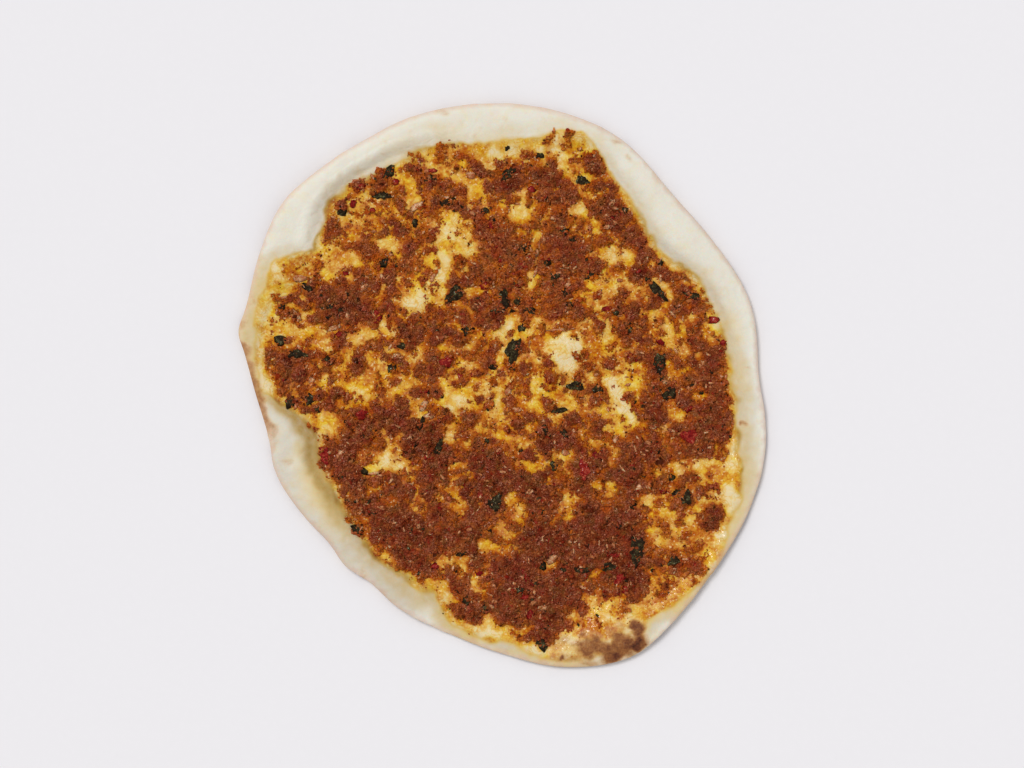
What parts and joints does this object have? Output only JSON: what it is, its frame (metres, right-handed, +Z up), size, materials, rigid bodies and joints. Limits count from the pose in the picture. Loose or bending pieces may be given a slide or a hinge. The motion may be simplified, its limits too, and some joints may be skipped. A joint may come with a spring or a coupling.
{
  "type": "lahmacun",
  "caption": "Thin round flatbread with a puffed uneven rim, spread with minced meat, herbs and red pepper; lies flat, topping up.",
  "frame": {"origin": "under the middle of the bread's outline, at the level of its underside", "axes": "+Z up, out of the topping; +Y along the bread's longest extent, towards its widest white rim; +X to the right as seen from above"},
  "size_m": [0.2818, 0.3002, 0.011],
  "materials": {
    "baked_dough": "floury white rim, oily yellow near the meat, toasted brown in places",
    "minced_meat": "baked red-brown mince with an orange oily sheen",
    "herb": "dark green cooked leaf",
    "red_pepper": "glossy deep red"
  },
  "bodies": {
    "root": {"bread": "baked_dough", "meat_topping": "minced_meat", "herb_leaf_01": "herb", "herb_leaf_02": "herb", "herb_leaf_03": "herb", "herb_leaf_04": "herb", "herb_leaf_05": "herb", "herb_leaf_06": "herb", "herb_leaf_07": "herb", "herb_leaf_08": "herb", "herb_leaf_09": "herb", "herb_leaf_10": "herb", "herb_leaf_11": "herb", "herb_leaf_12": "herb", "herb_leaf_13": "herb", "herb_leaf_14": "herb", "herb_leaf_15": "herb", "herb_leaf_16": "herb", "herb_leaf_17": "herb", "herb_leaf_18": "herb", "pepper_01": "red_pepper", "pepper_02": "red_pepper", "pepper_03": "red_pepper", "pepper_04": "red_pepper", "pepper_05": "red_pepper", "pepper_06": "red_pepper"}
  },
  "joints": []
}
